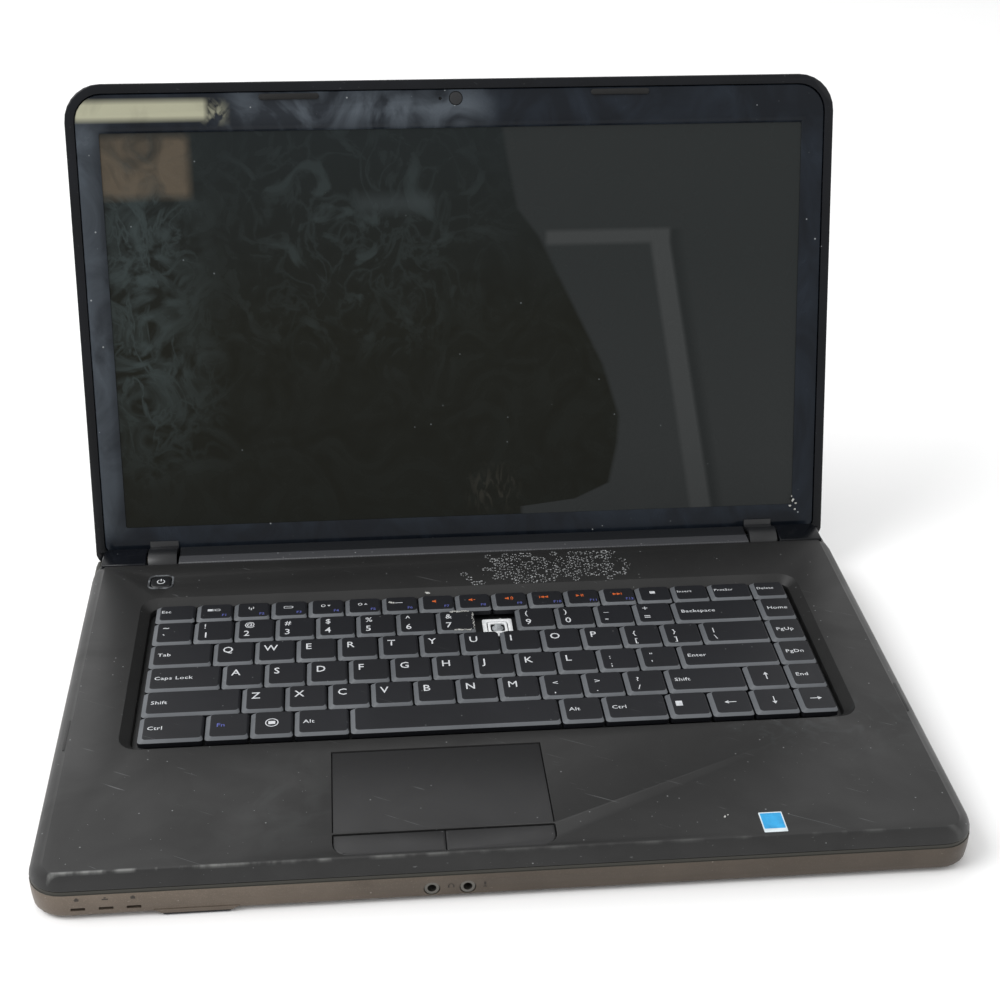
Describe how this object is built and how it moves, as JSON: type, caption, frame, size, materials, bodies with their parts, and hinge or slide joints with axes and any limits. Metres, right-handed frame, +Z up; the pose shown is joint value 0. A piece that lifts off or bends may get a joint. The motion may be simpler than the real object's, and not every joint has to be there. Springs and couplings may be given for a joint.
{
  "type": "laptop computer",
  "caption": "Open notebook computer with a hinged wide screen, a full keyboard with one key lost and its white scissor frame bare, touchpad, disc drive, fan and battery.",
  "frame": {"origin": "centre of the box round the open laptop, at the level of the rubber feet", "axes": "+X to the right of the keyboard, +Y from the front edge to the hinges, +Z up"},
  "size_m": [0.378, 0.3124, 0.2482],
  "materials": {
    "bronze_plastic": "satin, metallic bronze-brown, scuffed",
    "palm_plastic": "satin charcoal, dusty",
    "key_plastic": "matte black, worn",
    "gloss_black": "glossy black, smudged",
    "satin_black": "satin black",
    "screen": "glossy dark panel, smudged",
    "rubber": "matte",
    "silicone": "translucent grey",
    "white_plastic": "matte white",
    "steel": "plain",
    "aluminium": "plain",
    "circuit_board": "green solder mask",
    "clear_plastic": "clear"
  },
  "bodies": {
    "base": {"bottom_case": "bronze_plastic", "palm_rest_cover": "palm_plastic", "hinge_strip": "satin_black", "corner_cap_left": "gloss_black", "corner_cap_right": "gloss_black", "keyboard_plate": "key_plastic", "scissor_link_inner": "white_plastic", "scissor_link_outer": "white_plastic", "rubber_dome": "silicone", "touchpad": "palm_plastic", "hinge_bracket_left": "steel", "hinge_bracket_right": "steel", "battery_pack": "satin_black", "optical_drive": "steel", "hard_drive": "steel", "mainboard": "circuit_board", "memory_module": "circuit_board", "wireless_card": "circuit_board", "heat_sink": "aluminium", "fan_housing": "satin_black", "speaker_left": "satin_black", "speaker_right": "satin_black", "power_inlet": "satin_black", "video_port": "steel", "network_port": "steel", "usb_port_left": "steel", "usb_port_right": "steel", "headphone_jack": "steel", "microphone_jack": "steel", "card_slot_blank": "satin_black", "status_light_pipe": "clear_plastic", "service_cover": "bronze_plastic", "foot_front_left": "rubber", "foot_front_right": "rubber", "foot_rear_left": "rubber", "foot_rear_right": "rubber"},
    "lid": {"lid_cover": "gloss_black", "lid_bezel": "gloss_black", "display_panel": "screen", "webcam_module": "satin_black", "lid_bumper_left": "rubber", "lid_bumper_right": "rubber", "hinge_arm_left": "steel", "hinge_arm_right": "steel", "hinge_cap_left": "satin_black", "hinge_cap_right": "satin_black"},
    "fan_rotor": {"fan_rotor": "satin_black"},
    "optical_tray": {"optical_tray": "satin_black"},
    "optical_eject_button": {"optical_eject_button": "satin_black"},
    "battery_latch": {"battery_latch": "satin_black"},
    "battery_lock": {"battery_lock": "satin_black"},
    "power_button": {"power_button": "gloss_black"},
    "touchpad_button_left": {"touchpad_button_left": "palm_plastic"},
    "touchpad_button_right": {"touchpad_button_right": "palm_plastic"},
    "key_space": {"key_space": "key_plastic"},
    "key_shift_left": {"key_shift_left": "key_plastic"},
    "key_shift_right": {"key_shift_right": "key_plastic"},
    "key_enter": {"key_enter": "key_plastic"},
    "key_tab": {"key_tab": "key_plastic"},
    "key_backspace": {"key_backspace": "key_plastic"}
  },
  "joints": [
    {"name": "lid_hinge", "type": "hinge", "parent": "base", "child": "lid", "pos_m": [0, 0.08053, 0.0222], "axis": [1, 0, 0], "range_deg": [-24, 103.9]},
    {"name": "key_space_press", "type": "slide", "parent": "base", "child": "key_space", "axis": [0, 0.028, -0.9996], "range_m": [0, 0.002], "stiffness_N_per_m": 250, "springref_m": -0.001},
    {"name": "key_shift_left_press", "type": "slide", "parent": "base", "child": "key_shift_left", "axis": [0, 0.028, -0.9996], "range_m": [0, 0.002], "stiffness_N_per_m": 250, "springref_m": -0.001},
    {"name": "key_shift_right_press", "type": "slide", "parent": "base", "child": "key_shift_right", "axis": [0, 0.028, -0.9996], "range_m": [0, 0.002], "stiffness_N_per_m": 250, "springref_m": -0.001},
    {"name": "key_enter_press", "type": "slide", "parent": "base", "child": "key_enter", "axis": [0, 0.028, -0.9996], "range_m": [0, 0.002], "stiffness_N_per_m": 250, "springref_m": -0.001},
    {"name": "key_tab_press", "type": "slide", "parent": "base", "child": "key_tab", "axis": [0, 0.028, -0.9996], "range_m": [0, 0.002], "stiffness_N_per_m": 250, "springref_m": -0.001},
    {"name": "key_backspace_press", "type": "slide", "parent": "base", "child": "key_backspace", "axis": [0, 0.028, -0.9996], "range_m": [0, 0.002], "stiffness_N_per_m": 250, "springref_m": -0.001},
    {"name": "touchpad_button_left_press", "type": "slide", "parent": "base", "child": "touchpad_button_left", "axis": [0, 0.028, -0.9996], "range_m": [0, 0.0006], "stiffness_N_per_m": 1500, "springref_m": -0.0004},
    {"name": "touchpad_button_right_press", "type": "slide", "parent": "base", "child": "touchpad_button_right", "axis": [0, 0.028, -0.9996], "range_m": [0, 0.0006], "stiffness_N_per_m": 1500, "springref_m": -0.0004},
    {"name": "power_button_press", "type": "slide", "parent": "base", "child": "power_button", "axis": [0, 0.028, -0.9996], "range_m": [0, 0.0008], "stiffness_N_per_m": 1500, "springref_m": -0.0004},
    {"name": "fan_spin", "type": "hinge", "parent": "base", "child": "fan_rotor", "pos_m": [-0.142, 0.03383, 0.008], "axis": [0, 0, 1], "continuous": true},
    {"name": "tray_slide", "type": "slide", "parent": "base", "child": "optical_tray", "axis": [1, 0, 0], "range_m": [0, 0.13]},
    {"name": "eject_press", "type": "slide", "parent": "optical_tray", "child": "optical_eject_button", "axis": [-1, 0, 0], "range_m": [0, 0.0006], "stiffness_N_per_m": 800, "springref_m": -0.0004},
    {"name": "battery_latch_slide", "type": "slide", "parent": "base", "child": "battery_latch", "axis": [1, 0, 0], "range_m": [0, 0.006], "stiffness_N_per_m": 250, "springref_m": -0.003},
    {"name": "battery_lock_slide", "type": "slide", "parent": "base", "child": "battery_lock", "axis": [1, 0, 0], "range_m": [0, 0.006]}
  ]
}
